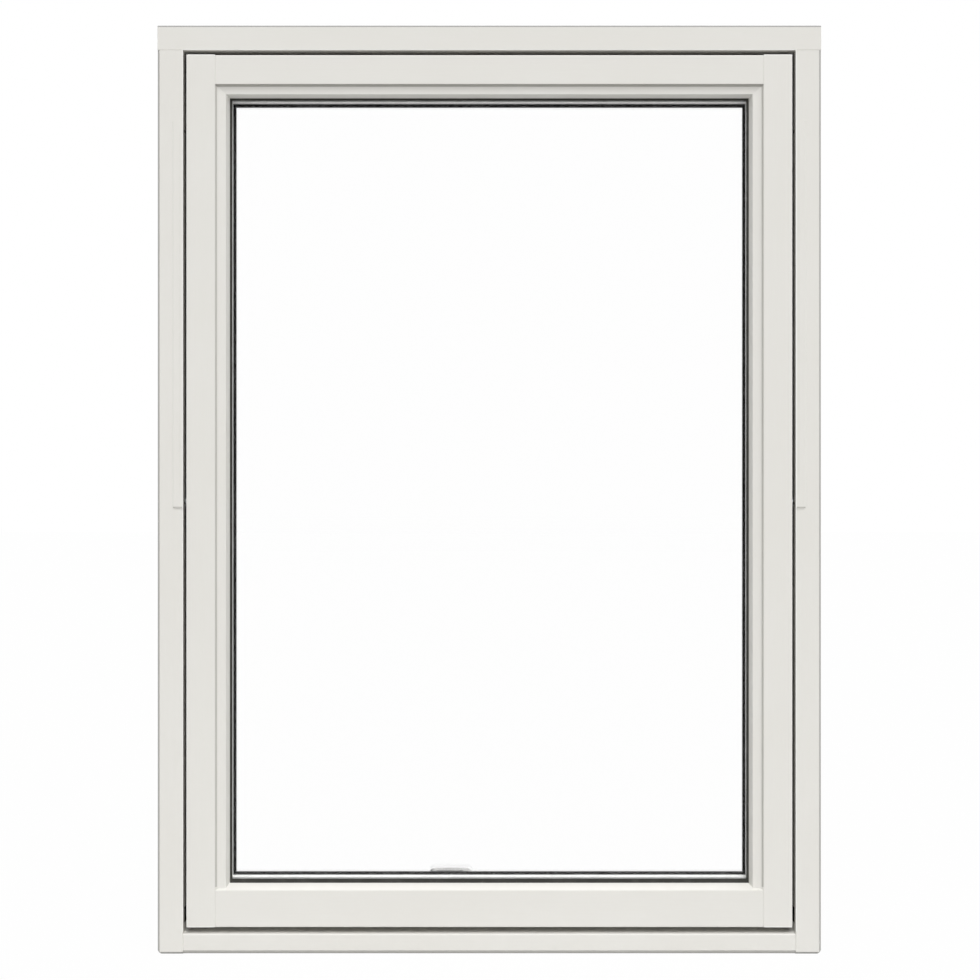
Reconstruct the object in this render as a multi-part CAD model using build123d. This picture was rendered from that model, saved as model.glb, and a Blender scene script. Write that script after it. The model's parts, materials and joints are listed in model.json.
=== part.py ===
from build123d import *
from math import cos, radians
import os

# Top-swing pivot window of painted timber, seen from outside along +Y, in millimetres.
# The origin is the middle of the frame's underside, +Z is up and the room is on the +Y side.

# Frame
frame_width = 992
frame_height = 1388
frame_depth = 105
jamb_face = 38
head_face = 37
sill_face = 30
stop_projection = 25
sill_rise = 5
sill_stop_height = 17
frame_arris = 3.2
head_arris = 2.2
foot_corner = 5
outer_arris = 3
inner_arris = 1
joint_arris = 0.6
sill_nosing = 5.5
groove_width = 13
groove_depth = 10
groove_margin = 12

# Sash
side_gap = 5
top_gap = 6.5
bottom_gap = 5
sash_depth = 58
lip_depth = 14
chamber_width = 20
stile_face = 43
top_rail_face = 44
bottom_rail_face = 54
sash_arris = 2
swing_chamfer = 8
rail_step = 0.8
drip_radius = 2.5
drip_setback = 9

# Glazing
bead_step = 0.8
bead_flat = 1
cove_width = 14.5
cove_drop = 5.5
bead_width = 20
top_bead_width = 18.2
bead_depth = 18
sill_bead_height = 9
gasket_thickness = 2
gasket_lip = 3.5
sill_gasket_lip = 3.2
gasket_hidden = 8
pane_thickness = 4
cavity = 16
tape_thickness = 3
tape_width = 11
spacer_width = 7
spacer_wall = 0.8
spacer_setback = 1.3
spacer_show_top = 0.8
spacer_show_bottom = 4.8
back_lip_show = 1
inner_gasket_lip = 4.1
glass_margin = 14
block_length = 80
block_inset = 150

# Weather seal
stop_gap = 6
seal_width = 4
seal_tip = 1.8
seal_margin = 0.5
seal_clearance = 0.7

# Swing gear
pivot_height = 674
link_setback = 34
shoe_drop = 12
arm_width = 22
arm_thickness = 4
arm_offset = 8
pin_radius = 5
pin_clearance = 0.08
open_pin_clearance = 0.3
boss_radius = 9
pin_head_radius = 8
pin_head = 1.8
face_clearance = 0.4
plate_thickness = 3
plate_length = 90
plate_width = 26
swing_limit = 80
track_width = 16
track_depth = 12
track_wall = 1.2
track_slot = 9.4
shoe_above = 12
shoe_below = 28
shoe_clearance = 0.4
shoe_pin_radius = 4
track_margin = 12

# Cover strips over the gear's housing in the jambs
strip_width = 16
strip_below_pivot = 8
strip_below_head = 106
strip_thickness = 3
strip_stand = 1
strip_slope = 3
strip_slope_drop = 0.8
strip_corner = 4
strip_line_setback = 4
strip_line_width = 0.6
strip_line_depth = 0.4
strip_line_margin = 20

# Lock, handle and fixings
keep_height = 26
keep_width = 20
keep_thickness = 2
keep_centre = 58
keep_slot_width = 9
keep_slot_height = 14
bolt_clearance = 0.4
handle_height = 91
rose_length = 66
rose_height = 26
rose_thickness = 8
neck_radius = 8
lever_gap = 0.3
lever_reach = 33
lever_thickness = 9
lever_length = 82.5
lever_rise = 9.5
hub_radius = 9
web_radius = 7
grip_radius = 10.5
grip_belly = 11.2
grip_start = 36
lever_arris = 2.5
fixing_radius = 4
fixing_spacing = 990
fixing_setback = 54

# Places worked out from the sizes
front = -frame_depth / 2
back = frame_depth / 2
half_width = frame_width / 2
jamb_inner = half_width - jamb_face
head_under = frame_height - head_face
stop_front = front + sash_depth + stop_gap
stop_inner = jamb_inner - stop_projection
sill_top = sill_face + sill_rise
sill_stop_top = sill_top + sill_stop_height
head_stop_under = head_under - stop_projection

sash_side = jamb_inner - side_gap
sash_top = head_under - top_gap
sash_bottom = sill_top + bottom_gap
sash_back = front + sash_depth
body_side = jamb_inner - chamber_width
rebate_side = sash_side - stile_face
rebate_top = sash_top - top_rail_face
rebate_bottom = sash_bottom + bottom_rail_face

bead_back = front + bead_depth
pane_front = bead_back + gasket_thickness
spacer_front = pane_front + pane_thickness
spacer_back = spacer_front + cavity
glass_back = spacer_back + pane_thickness
lip_front = glass_back + tape_thickness
sight_side = rebate_side - bead_width - gasket_lip
sight_top = rebate_top - top_bead_width - gasket_lip
sight_bottom = rebate_bottom + sill_bead_height + sill_gasket_lip
spacer_side = sight_side + spacer_setback
spacer_top = sight_top - spacer_show_top
spacer_bottom = sight_bottom + spacer_show_bottom
lip_side = spacer_side - back_lip_show
lip_top = spacer_top - back_lip_show
lip_bottom = spacer_bottom + back_lip_show
glass_side = spacer_side + glass_margin
glass_top = spacer_top + glass_margin
glass_bottom = spacer_bottom - glass_margin

link_y = front + link_setback
shoe_height = sash_top - shoe_drop
arm_length = (shoe_height - pivot_height) / 2
sash_pivot_height = pivot_height + arm_length
arm_outer = jamb_inner - arm_offset
arm_inner = arm_outer - arm_thickness
lowest_shoe = pivot_height + 2 * arm_length * cos(radians(swing_limit))
track_bottom = lowest_shoe - shoe_below - track_margin


def outline(points, rounds=()):
    """A closed face through the points, with some of its corners rounded."""
    face = make_face(Polyline(*points, close=True))
    for corner, radius in rounds:
        face = fillet(face.vertices().sort_by_distance((*corner, 0))[0], radius)
    return face


def upright(face, low, high):
    """A face drawn in X and Y, made into a post between two heights."""
    return Pos(0, 0, low) * extrude(face, high - low)


def across(face, left, right):
    """A face drawn in Y and Z, made into a rail between two places in X."""
    return Pos(left, 0, 0) * extrude(Plane.YZ * face, right - left)


def block(x, y, z):
    """A box from its low and high values along each axis."""
    size = [high - low for low, high in (x, y, z)]
    middle = [(high + low) / 2 for low, high in (x, y, z)]
    return Pos(*middle) * Box(*size)


def rod(radius, left, right, y, z):
    """A round rod along X."""
    middle = Pos((left + right) / 2, y, z)
    return middle * Rot(0, 90, 0) * Cylinder(radius, right - left)


def mirrored(shape):
    """The same shape on the window's other side."""
    return mirror(shape, Plane.YZ)


def eased(rail):
    """The same rail with a fine arris down both ends of its outer face, at the joints."""
    ends = rail.edges().filter_by(Axis.Z).group_by(Axis.Y)[0]
    return chamfer(ends, joint_arris)


def save(name, shape):
    export_step(Compound(shape.solids()), f"parts/{name}.step")


# Frame

def track_groove():
    """The housing for the track, milled in the jamb's inner face."""
    y = (link_y - track_width / 2, link_y + track_width / 2)
    return block((jamb_inner, jamb_inner + track_depth), y, (track_bottom, head_under))


def jamb():
    """The right jamb, with its stop, lining groove and housings for the gear."""
    points = [
        (jamb_inner, front),
        (half_width - frame_arris, front),
        (half_width, front + frame_arris),
        (half_width, back),
        (stop_inner, back),
        (stop_inner, stop_front),
        (jamb_inner, stop_front),
    ]
    rounds = [((jamb_inner, front), inner_arris), ((stop_inner, back), outer_arris)]
    post = upright(outline(points, rounds), 0, head_under) - foot_cuts()
    groove_x = (half_width - groove_margin - groove_width, half_width - groove_margin)
    post -= block(groove_x, (back - groove_depth, back), (0, head_under))
    post -= track_groove()
    post -= pivot_plate(jamb_inner)
    post -= keep_plate(jamb_inner)
    post -= cover_strip()
    post -= bolt_pocket()
    for height in fixing_heights():
        post -= rod(fixing_radius, jamb_inner, half_width, front + fixing_setback, height)
    return post


def foot_cuts():
    """The bevel under the jamb's outer face and the cut across its outer lower corner."""
    bevel = outline([(front, 0), (front, frame_arris), (front + frame_arris, 0)])
    corner = outline([(half_width - foot_corner, 0), (half_width, 0), (half_width, foot_corner)])
    return across(bevel, 0, half_width) + extrude(Plane.XZ * corner, frame_depth, both=True)


def fixing_heights():
    """The heights of the frame's fixing holes, evenly about its middle."""
    return [(frame_height + side * fixing_spacing) / 2 for side in (-1, 1)]


def head():
    """The head, which lies over both jambs, with its stop between theirs."""
    points = [
        (front, head_under),
        (front, frame_height - head_arris),
        (front + head_arris, frame_height),
        (back, frame_height),
        (back, head_under),
    ]
    bar = eased(across(outline(points, [((front, head_under), inner_arris)]), -half_width, half_width))
    groove_z = (frame_height - groove_margin - groove_width, frame_height - groove_margin)
    bar -= block((-half_width, half_width), (back - groove_depth, back), groove_z)
    stop_points = [(stop_front, head_stop_under), (back, head_stop_under), (back, head_under), (stop_front, head_under)]
    stop = across(outline(stop_points, [((back, head_stop_under), outer_arris)]), -stop_inner, stop_inner)
    return bar + stop


def sill():
    """The sill between the jambs: a fall to the outside, a stop behind and a groove for the lining."""
    points = [
        (front + sill_nosing, 0),
        (front, sill_nosing),
        (front, sill_face),
        (lip_front, sill_top),
        (stop_front, sill_top),
        (stop_front, sill_stop_top),
        (back, sill_stop_top),
        (back, 0),
    ]
    rounds = [
        ((front, sill_face), sash_arris),
        ((stop_front, sill_stop_top), outer_arris),
        ((back, sill_stop_top), outer_arris),
    ]
    bar = eased(across(outline(points, rounds), -jamb_inner, jamb_inner))
    bar -= block((-jamb_inner, jamb_inner), (back - groove_depth, back), (groove_margin, groove_margin + groove_width))
    notch = block((stop_inner, jamb_inner), (stop_front, back), (0, sill_stop_top))
    return bar - notch - mirrored(notch)


def seal_section(place, inward):
    """A bulb seal's section: its foot on the stop at y = stop_front, its tip rounded."""
    tip = sash_back + seal_clearance
    low, high = sorted((place, place + inward * seal_width))
    points = [(tip, low), (tip, high), (stop_front, high), (stop_front, low)]
    return outline(points, [((tip, low), seal_tip), ((tip, high), seal_tip)])


def weather_seals():
    """Four seals on the face of the stop, cut to leave the corners open."""
    side_low = sill_stop_top
    side_high = head_stop_under
    rails = across(seal_section(head_stop_under + seal_margin, 1), -stop_inner, stop_inner)
    rails += across(seal_section(sill_stop_top - seal_margin, -1), -stop_inner, stop_inner)
    flat = seal_section(stop_inner + seal_margin, 1)
    side = Pos(0, 0, side_low) * extrude(turned(flat), side_high - side_low)
    return rails + side + mirrored(side)


def turned(face):
    """A section drawn in depth and offset, laid in X and Y as offset and depth."""
    diagonal = Plane(origin=(0, 0, 0), x_dir=(1, 1, 0), z_dir=(1, -1, 0))
    return facing_up(mirror(face, diagonal))


def cover_strip():
    """The strip over the gear's housing: a sloped outer edge, a cut lower corner and a fine line down it."""
    face_y = front - strip_stand
    outer = jamb_inner + strip_width
    low = pivot_height - strip_below_pivot
    high = head_under - strip_below_head
    section = [
        (jamb_inner, face_y + strip_thickness),
        (jamb_inner, face_y),
        (outer - strip_slope, face_y),
        (outer, face_y + strip_slope_drop),
        (outer, face_y + strip_thickness),
    ]
    corner = outline([(outer - strip_corner, low), (outer, low), (outer, low + strip_corner)])
    line_x = (jamb_inner + strip_line_setback, jamb_inner + strip_line_setback + strip_line_width)
    line_z = (low + strip_line_margin, high - strip_line_margin)
    strip = upright(outline(section), low, high)
    strip -= extrude(Plane.XZ * corner, frame_depth, both=True)
    return strip - block(line_x, (face_y, face_y + strip_line_depth), line_z)


# Swing gear

def pin(left, right, head_left, y, z, radius=pin_radius):
    """A pin along X with a flat head at one end."""
    return rod(radius, left, right, y, z) + rod(pin_head_radius, head_left, head_left + pin_head, y, z)


def rounded_plate(left, thickness, height, width, z):
    """A plate against a side face, with round ends, drawn in Y and Z."""
    face = Pos(link_y, z) * Rot(0, 0, 90) * SlotOverall(height, width)
    return across(face, left, left + thickness)


def pivot_plate(left):
    """The plate let into the jamb that carries the arm's lower pin."""
    return rounded_plate(left, plate_thickness, plate_length, plate_width, pivot_height)


def jamb_pivot():
    """The jamb's plate, with its boss, the arm's pin and the pin's head."""
    bracket = pivot_plate(jamb_inner)
    bracket += rod(boss_radius, arm_outer + face_clearance, jamb_inner, link_y, pivot_height)
    head_left = arm_inner - face_clearance - pin_head
    return bracket + pin(head_left, jamb_inner, head_left, link_y, pivot_height)


def sash_pivot():
    """The plate on the sash's edge that the arm's upper end turns on."""
    bracket = rounded_plate(body_side, plate_thickness, plate_length, plate_width, sash_pivot_height)
    bracket += rod(boss_radius, body_side, arm_inner - face_clearance, link_y, sash_pivot_height)
    head_left = arm_outer + face_clearance
    return bracket + pin(body_side, head_left + pin_head, head_left, link_y, sash_pivot_height)


def arm(upper_clearance):
    """A flat arm with round eyes; its waist is cut slimmer between them."""
    middle_z = (pivot_height + sash_pivot_height) / 2
    bar = rounded_plate(arm_inner, arm_thickness, arm_length + arm_width, arm_width, middle_z)
    waist = Pos(link_y + arm_width / 2, middle_z) * Rot(0, 0, 90) * SlotOverall(arm_length - 2 * arm_width, arm_width / 3)
    for face in (waist, Pos(-arm_width, 0) * waist):
        bar -= across(face, arm_inner, arm_outer)
    for height, clearance in ((pivot_height, pin_clearance), (sash_pivot_height, upper_clearance)):
        bar -= rod(pin_radius + clearance, arm_inner, arm_outer, link_y, height)
    return bar


def track():
    """The lipped channel in the jamb that guides the shoe."""
    floor = jamb_inner + track_depth
    groove = track_groove()
    hollow = block(
        (jamb_inner + track_wall, floor - track_wall),
        (link_y - track_width / 2 + track_wall, link_y + track_width / 2 - track_wall),
        (track_bottom + track_wall, head_under),
    )
    slot = block(
        (jamb_inner, jamb_inner + track_wall),
        (link_y - track_slot / 2, link_y + track_slot / 2),
        (track_bottom + track_wall, head_under),
    )
    return groove - hollow - slot


def shoe():
    """The nylon block that slides in the track, with the bore for the sash's pin."""
    inset = track_wall + shoe_clearance
    x = (jamb_inner + inset, jamb_inner + track_depth - inset)
    y = (link_y - track_width / 2 + inset, link_y + track_width / 2 - inset)
    body = block(x, y, (shoe_height - shoe_below, shoe_height + shoe_above))
    body = chamfer(body.edges().filter_by(Axis.X), outer_arris / 2)
    return body - rod(shoe_pin_radius + pin_clearance, x[0], x[1], link_y, shoe_height)


def shoe_plate():
    """The plate at the top of the sash's edge, with the pin that the shoe turns on."""
    low = shoe_height - plate_length / 2
    y = (link_y - plate_width / 2, link_y + plate_width / 2)
    plate = block((body_side, body_side + plate_thickness), y, (low, sash_top))
    plate = chamfer(plate.edges().filter_by(Axis.X), outer_arris)
    tip = jamb_inner + track_depth - track_wall - 2 * shoe_clearance
    plate += rod(boss_radius - outer_arris, body_side, arm_inner, link_y, shoe_height)
    return plate + rod(shoe_pin_radius, body_side, tip, link_y, shoe_height)


# Lock

def keep_plate(left):
    """The lock's keep, let into the jamb."""
    z = (keep_centre - keep_height / 2, keep_centre + keep_height / 2)
    return block((left, left + keep_thickness), (link_y - keep_width / 2, link_y + keep_width / 2), z)


def bolt_pocket():
    """The pocket behind the keep, as wide as its slot."""
    y = (link_y - keep_slot_width / 2, link_y + keep_slot_width / 2)
    z = (keep_centre - keep_slot_height / 2, keep_centre + keep_slot_height / 2)
    return block((jamb_inner, jamb_inner + track_depth), y, z)


def keep():
    return keep_plate(jamb_inner) - bolt_pocket()


def lock_faceplate():
    """The plate on the sash's edge with the end of the bolt, drawn back and flush with its guide."""
    z = (keep_centre - keep_height / 2, keep_centre + keep_height / 2)
    y = (link_y - keep_width / 2, link_y + keep_width / 2)
    plate = block((body_side, body_side + keep_thickness), y, z)
    inset = bolt_clearance
    y_bolt = (link_y - keep_slot_width / 2 + inset, link_y + keep_slot_width / 2 - inset)
    z_bolt = (keep_centre - keep_slot_height / 2 + inset, keep_centre + keep_slot_height / 2 - inset)
    guide = block((body_side, body_side + chamber_width / 3), y_bolt, z_bolt)
    return plate + guide


# Sash

def stile():
    """The right stile: outer lip, body set back for the gear, and the rebate for the glass."""
    points = [
        (rebate_side, front),
        (sash_side, front),
        (sash_side, front + lip_depth),
        (body_side, front + lip_depth),
        (body_side, sash_back),
        (lip_side, sash_back),
        (lip_side, lip_front),
        (rebate_side, lip_front),
    ]
    rounds = [
        ((sash_side, front), sash_arris),
        ((rebate_side, front), joint_arris),
        ((lip_side, sash_back), outer_arris),
    ]
    post = upright(outline(points, rounds), sash_bottom, sash_top)
    return post - swing_corner()


def swing_corner():
    """The wedge off the sash's top inner edge, which lets it pass the head's stop."""
    points = [
        (sash_back - swing_chamfer, sash_top),
        (sash_back, sash_top),
        (sash_back, sash_top - swing_chamfer),
    ]
    return across(outline(points), -half_width, half_width)


def top_rail(stiles):
    high = sash_top - rail_step
    points = [
        (front, rebate_top),
        (front, high),
        (sash_back, high),
        (sash_back, lip_top),
        (lip_front, lip_top),
        (lip_front, rebate_top),
    ]
    rounds = [((front, high), sash_arris), ((sash_back, lip_top), outer_arris)]
    rail = eased(across(outline(points, rounds), -rebate_side, rebate_side)) - swing_corner()
    for post in stiles:
        rail -= post
    return rail


def bottom_rail(stiles):
    """The bottom rail, with a drip groove under its outer edge."""
    points = [
        (front, sash_bottom),
        (front, rebate_bottom),
        (lip_front, rebate_bottom),
        (lip_front, lip_bottom),
        (sash_back, lip_bottom),
        (sash_back, sash_bottom),
    ]
    rounds = [((front, sash_bottom), sash_arris), ((sash_back, lip_bottom), outer_arris)]
    rail = eased(across(outline(points, rounds), -rebate_side, rebate_side))
    rail -= rod(drip_radius, -rebate_side, rebate_side, front + drip_setback, sash_bottom)
    for post in stiles:
        rail -= post
    return rail


# Glazing

def bead_section(width):
    """A moulded bead in offset from the rebate and depth: a flat, an elliptical cove, an arris and a bevel."""
    top = front + bead_step
    share = width / bead_width
    flat = bead_flat * share
    cove_end = flat + cove_width * share
    edges = [
        Line((0, bead_back), (0, top)),
        Line((0, top), (flat, top)),
        EllipticalCenterArc((cove_end, top), cove_width * share, cove_drop, start_angle=90, arc_size=90),
        Line((cove_end, top + cove_drop), (width, bead_back)),
        Line((width, bead_back), (0, bead_back)),
    ]
    return make_face(edges)


def side_strip(section, low, high):
    """A section in offset and depth, run up the right side of the rebate."""
    flipped = mirror(section, Plane.YZ)
    return Pos(rebate_side, 0, low) * extrude(facing_up(flipped), high - low)


def facing_up(face):
    """The same face with its normal along +Z, so that it is extruded upwards."""
    flat = face.face()
    return flat if flat.normal_at().Z > 0 else -flat


def top_strip(section):
    """The same section along the top of the rebate, made by turning the side strip."""
    run = side_strip(section, -rebate_side, rebate_side)
    return Pos(0, 0, rebate_top - rebate_side) * Rot(0, -90, 0) * run


def mitre_wedge(half):
    """What a side strip keeps at its top end: everything on its side of the mitre line."""
    inner = rebate_side - 2 * bead_width
    points = [
        (rebate_side, 0),
        (rebate_side, rebate_top),
        (inner, rebate_top - 2 * top_bead_width),
        (inner, 0),
    ]
    wedge = extrude(Plane.XZ * outline(points), frame_depth, both=True)
    return wedge if half > 0 else mirrored(wedge)


def glazing_beads():
    """The four beads by name: the sides mitred to the top and scribed over the sloping bottom one."""
    side = side_strip(bead_section(bead_width), rebate_bottom, rebate_top) & mitre_wedge(1)
    bottom = bottom_bead()
    side -= bottom
    top = top_strip(bead_section(top_bead_width)) - mitre_wedge(1) - mitre_wedge(-1)
    return {
        "top_glazing_bead": top,
        "bottom_glazing_bead": bottom,
        "right_glazing_bead": side,
        "left_glazing_bead": mirrored(side),
    }


def bottom_bead():
    """The bead along the bottom, sloped to shed water."""
    top = front + bead_step
    points = [
        (top, rebate_bottom),
        (top, rebate_bottom + bead_flat),
        (bead_back, rebate_bottom + sill_bead_height),
        (bead_back, rebate_bottom),
    ]
    return across(outline(points), -rebate_side, rebate_side)


def frame_of_bars(inner_x, inner_low, inner_high, width, y):
    """Four bars round the glass: two uprights and, between them, a top and a bottom."""
    upright_bar = block((inner_x, inner_x + width), y, (inner_low - width, inner_high + width))
    top = block((-inner_x, inner_x), y, (inner_high, inner_high + width))
    bottom = block((-inner_x, inner_x), y, (inner_low - width, inner_low))
    return Compound([upright_bar, mirrored(upright_bar), top, bottom])


def outer_gasket():
    """The black gasket between the beads and the glass, with the lip that shows."""
    width = gasket_lip + gasket_hidden
    bars = frame_of_bars(sight_side, sight_bottom, sight_top, width, (bead_back, pane_front))
    return bars


def glazing_tape():
    """The glazing tape between the glass and the sash's back lip, with the edge that shows past the spacer."""
    inner_sight = (spacer_side - inner_gasket_lip, spacer_bottom + inner_gasket_lip, spacer_top - inner_gasket_lip)
    return frame_of_bars(*inner_sight, tape_width, (glass_back, lip_front))


def pane(y):
    return block((-glass_side, glass_side), (y, y + pane_thickness), (glass_bottom, glass_top))


def spacer():
    """The hollow metal spacer between the panes."""
    ring = []
    for low, high in ((spacer_front, spacer_front + spacer_wall), (spacer_back - spacer_wall, spacer_back)):
        ring += frame_of_bars(spacer_side, spacer_bottom, spacer_top, spacer_width, (low, high)).solids()
    walls = (spacer_front + spacer_wall, spacer_back - spacer_wall)
    ring += frame_of_bars(spacer_side, spacer_bottom, spacer_top, spacer_wall, walls).solids()
    body = ring[0]
    for bar in ring[1:]:
        body += bar
    return body


def edge_seal():
    """The sealant round the edge of the glass unit."""
    width = glass_margin - spacer_width
    y = (spacer_front, spacer_back)
    return frame_of_bars(
        spacer_side + spacer_width, spacer_bottom - spacer_width, spacer_top + spacer_width, width, y
    )


def setting_blocks():
    """The two blocks that the glass unit stands on."""
    y = (pane_front, glass_back)
    inner = rebate_side - block_inset - block_length
    right = block((inner, inner + block_length), y, (rebate_bottom, glass_bottom))
    return right + mirrored(right)


# Handle

def rose():
    """The handle's rounded rose on the inner face of the bottom rail."""
    face = Pos(0, handle_height) * RectangleRounded(rose_length, rose_height, rose_height / 3)
    plate = along_depth(face, sash_back, sash_back + rose_thickness)
    return fillet(plate.faces().sort_by(Axis.Y)[-1].edges(), rose_thickness / 4)


def along_depth(face, near, far):
    """A face drawn in X and Z, extruded towards the room."""
    return Pos(0, far, 0) * extrude(Plane.XZ * face, far - near)


def lever():
    """The lever: a round neck, a hub and a flat grip whose edges swell towards its middle."""
    near = sash_back + lever_reach
    grip_height = handle_height + lever_rise
    middle = (grip_start + lever_length) / 2
    shoulder = disc(grip_radius, -grip_start, grip_height)
    grip = hull([shoulder, disc(grip_belly, -middle, grip_height), disc(grip_radius, -lever_length, grip_height)])
    web_end = disc(web_radius, -grip_start, grip_height - grip_radius + web_radius)
    web = hull([disc(hub_radius, 0, handle_height), web_end])
    blade = along_depth(web, near, near + lever_thickness) + along_depth(grip, near, near + lever_thickness)
    for face in (blade.faces().sort_by(Axis.Y)[0], blade.faces().sort_by(Axis.Y)[-1]):
        blade = fillet(face.edges(), lever_arris)
    foot = sash_back + rose_thickness + lever_gap
    neck = Pos(0, (foot + near) / 2, handle_height) * Rot(90, 0, 0) * Cylinder(neck_radius, near - foot)
    return blade + neck


def disc(radius, x, z):
    return Pos(x, z) * Circle(radius)


def hull(discs):
    """The tight outline round some discs."""
    return make_hull([edge for one in discs for edge in one.edges()])


def build():
    os.makedirs("parts", exist_ok=True)
    right_jamb = jamb()
    right_stile = stile()
    left_stile = mirrored(right_stile)
    pieces = {
        "frame_head": head(),
        "frame_left_jamb": mirrored(right_jamb),
        "frame_right_jamb": right_jamb,
        "frame_sill": sill(),
        "frame_weather_seals": weather_seals(),
        "sash_left_stile": left_stile,
        "sash_right_stile": right_stile,
        "sash_top_rail": top_rail((left_stile, right_stile)),
        "sash_bottom_rail": bottom_rail((left_stile, right_stile)),
        "outer_glazing_gasket": outer_gasket(),
        "inner_glazing_tape": glazing_tape(),
        "outer_pane": pane(pane_front),
        "inner_pane": pane(spacer_back),
        "glass_spacer": spacer(),
        "glass_edge_seal": edge_seal(),
        "glass_setting_blocks": setting_blocks(),
        "handle_rose": rose(),
        "handle_lever": lever(),
        "right_arm": arm(open_pin_clearance),
        "left_arm": mirrored(arm(pin_clearance)),
    }
    pieces |= glazing_beads()
    pairs = {
        "cover_strip": cover_strip(),
        "shoe_track": track(),
        "jamb_pivot": jamb_pivot(),
        "sash_pivot": sash_pivot(),
        "track_shoe": shoe(),
        "shoe_plate": shoe_plate(),
        "lock_keep": keep(),
        "lock_faceplate": lock_faceplate(),
    }
    for name, piece in pairs.items():
        pieces[f"right_{name}"] = piece
        pieces[f"left_{name}"] = mirrored(piece)
    for name, piece in pieces.items():
        save(name, piece)


build()
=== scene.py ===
import json
import math

import bmesh
import bpy
from mathutils import Matrix, Vector


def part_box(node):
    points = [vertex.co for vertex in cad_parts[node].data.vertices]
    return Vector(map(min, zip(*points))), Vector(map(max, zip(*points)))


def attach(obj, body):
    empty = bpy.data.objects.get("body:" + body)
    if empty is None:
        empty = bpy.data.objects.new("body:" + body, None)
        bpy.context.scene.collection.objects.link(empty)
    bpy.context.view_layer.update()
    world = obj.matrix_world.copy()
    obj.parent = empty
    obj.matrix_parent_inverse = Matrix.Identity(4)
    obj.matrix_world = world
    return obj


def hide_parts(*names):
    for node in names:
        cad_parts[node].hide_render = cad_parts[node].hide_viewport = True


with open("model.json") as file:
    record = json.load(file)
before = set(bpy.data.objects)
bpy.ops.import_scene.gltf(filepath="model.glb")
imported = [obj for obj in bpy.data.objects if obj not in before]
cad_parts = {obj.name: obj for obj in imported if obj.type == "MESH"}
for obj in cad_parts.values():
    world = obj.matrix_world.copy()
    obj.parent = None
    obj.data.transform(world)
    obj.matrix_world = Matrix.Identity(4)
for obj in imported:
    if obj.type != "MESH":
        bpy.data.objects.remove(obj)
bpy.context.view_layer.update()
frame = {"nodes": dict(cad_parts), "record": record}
nodes = frame["nodes"]
print("loaded", len(nodes), "nodes")

hair = 0.0001  # metres, how far a point may be off when edges are picked
cloudRise = (0.35, 0.7)  # where clouds in a noise begin and are full
quarterTurn = math.radians(90)
smoothBelow = math.radians(35)
sides = ((-1, "Left"), (1, "Right"))


# Places that several pieces share, in metres

def middle(node, letter):
    low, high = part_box(node)
    return (getattr(low, letter) + getattr(high, letter)) / 2


def spread(node, reach):
    return [middle(node, "z") - reach, middle(node, "z") + reach]


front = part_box("sash_right_stile")[0].y
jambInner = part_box("right_lock_keep")[0].x
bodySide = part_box("right_lock_faceplate")[0].x  # the sash's side behind its lip
linkY = middle("right_lock_keep", "y")
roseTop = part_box("handle_rose")[1].y
print("front face at", round(front, 4), "and gear at", round(linkY, 4))


# Shader nodes: a Signal is a socket that can be used in sums, a Finish is one material

class Signal:
    def __init__(self, finish, socket):
        self.finish = finish
        self.socket = socket

    def calculate(self, operation, first, second=None):
        values = {0: first} if second is None else {0: first, 1: second}
        return self.finish.add("ShaderNodeMath", {"operation": operation}, values)

    def __add__(self, other):
        return self.calculate("ADD", self, other)

    def __radd__(self, other):
        return self.calculate("ADD", other, self)

    def __sub__(self, other):
        return self.calculate("SUBTRACT", self, other)

    def __rsub__(self, other):
        return self.calculate("SUBTRACT", other, self)

    def __mul__(self, other):
        return self.calculate("MULTIPLY", self, other)

    def __truediv__(self, other):
        return self.calculate("DIVIDE", self, other)

    def __mod__(self, other):
        return self.calculate("FLOORED_MODULO", self, other)

    def __abs__(self):
        return self.calculate("ABSOLUTE", self)

    def atLeast(self, other):
        return self.calculate("MAXIMUM", self, other)

    def atMost(self, other):
        return self.calculate("MINIMUM", self, other)

    def rise(self, low, high):
        # 0 at low, 1 at high, smooth between
        settings = {"interpolation_type": "SMOOTHSTEP"}
        values = {"Value": self, "From Min": low, "From Max": high}
        return self.finish.add("ShaderNodeMapRange", settings, values)


class NodeSheet:
    def __init__(self, tree):
        self.tree = tree

    def add(self, kind, settings=None, values=None, output=0):
        node = self.tree.nodes.new(kind)
        for name, setting in (settings or {}).items():
            setattr(node, name, setting)
        for name, value in (values or {}).items():
            if isinstance(value, Signal):
                self.tree.links.new(value.socket, node.inputs[name])
            else:
                node.inputs[name].default_value = value
        return Signal(self, node.outputs[output])

    def axis(self, letter, spot):
        return self.add("ShaderNodeSeparateXYZ", None, {0: spot}, letter)

    def anyOf(self, *kinds):
        # 1 for rays of these kinds
        rays = [self.add("ShaderNodeLightPath", output=kind) for kind in kinds]
        return sum(rays[1:], rays[0]).atMost(1)


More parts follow.
